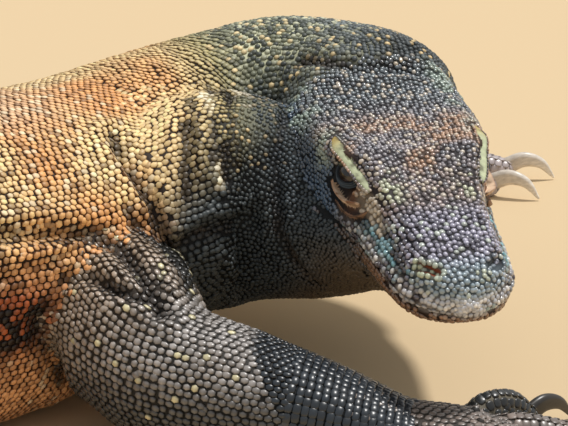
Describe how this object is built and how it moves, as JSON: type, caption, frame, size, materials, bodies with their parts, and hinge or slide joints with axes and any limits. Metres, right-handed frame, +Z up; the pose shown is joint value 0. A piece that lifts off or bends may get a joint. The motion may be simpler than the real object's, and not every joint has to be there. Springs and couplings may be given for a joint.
{
  "type": "life-size komodo dragon",
  "caption": "Life-size komodo dragon, a still figure lying on its belly with the neck bent and the head turned back to its right, scaled hide, clawed feet and a long tail.",
  "frame": {"origin": "on the floor, on the flat of the belly under the middle of the trunk", "axes": "+X along the trunk toward the chest, +Y to the animal's left, +Z up; the head points back toward -Y"},
  "size_m": [2.5396, 0.9684, 0.1932],
  "materials": {
    "body_hide": "rough beaded scales, tan to golden brown with dark gaps",
    "head_hide": "smooth rounded scales, dark purplish grey with brown patches",
    "throat_hide": "fine grained loose skin, charcoal with rusty edges",
    "claw_horn": "satin grey horn",
    "eye": "wet gloss, near black"
  },
  "bodies": {
    "root": {"head": "head_hide", "neck_front": "body_hide", "neck_rear": "body_hide", "trunk_front": "body_hide", "trunk_middle": "body_hide", "trunk_rear": "body_hide", "tail_base": "body_hide", "tail_front": "body_hide", "tail_rear": "body_hide", "tail_tip": "body_hide", "lower_jaw": "head_hide", "eye_right": "eye", "eye_left": "eye", "throat": "throat_hide", "upper_arm_right": "body_hide", "forearm_right": "body_hide", "hand_right": "body_hide", "claw_hand_right_1": "claw_horn", "claw_hand_right_2": "claw_horn", "claw_hand_right_3": "claw_horn", "claw_hand_right_4": "claw_horn", "claw_hand_right_5": "claw_horn", "upper_arm_left": "body_hide", "forearm_left": "body_hide", "hand_left": "body_hide", "claw_hand_left_1": "claw_horn", "claw_hand_left_2": "claw_horn", "claw_hand_left_3": "claw_horn", "claw_hand_left_4": "claw_horn", "claw_hand_left_5": "claw_horn", "thigh_right": "body_hide", "shank_right": "body_hide", "foot_right": "body_hide", "claw_foot_right_1": "claw_horn", "claw_foot_right_2": "claw_horn", "claw_foot_right_3": "claw_horn", "claw_foot_right_4": "claw_horn", "claw_foot_right_5": "claw_horn", "thigh_left": "body_hide", "shank_left": "body_hide", "foot_left": "body_hide", "claw_foot_left_1": "claw_horn", "claw_foot_left_2": "claw_horn", "claw_foot_left_3": "claw_horn", "claw_foot_left_4": "claw_horn", "claw_foot_left_5": "claw_horn"}
  },
  "joints": []
}
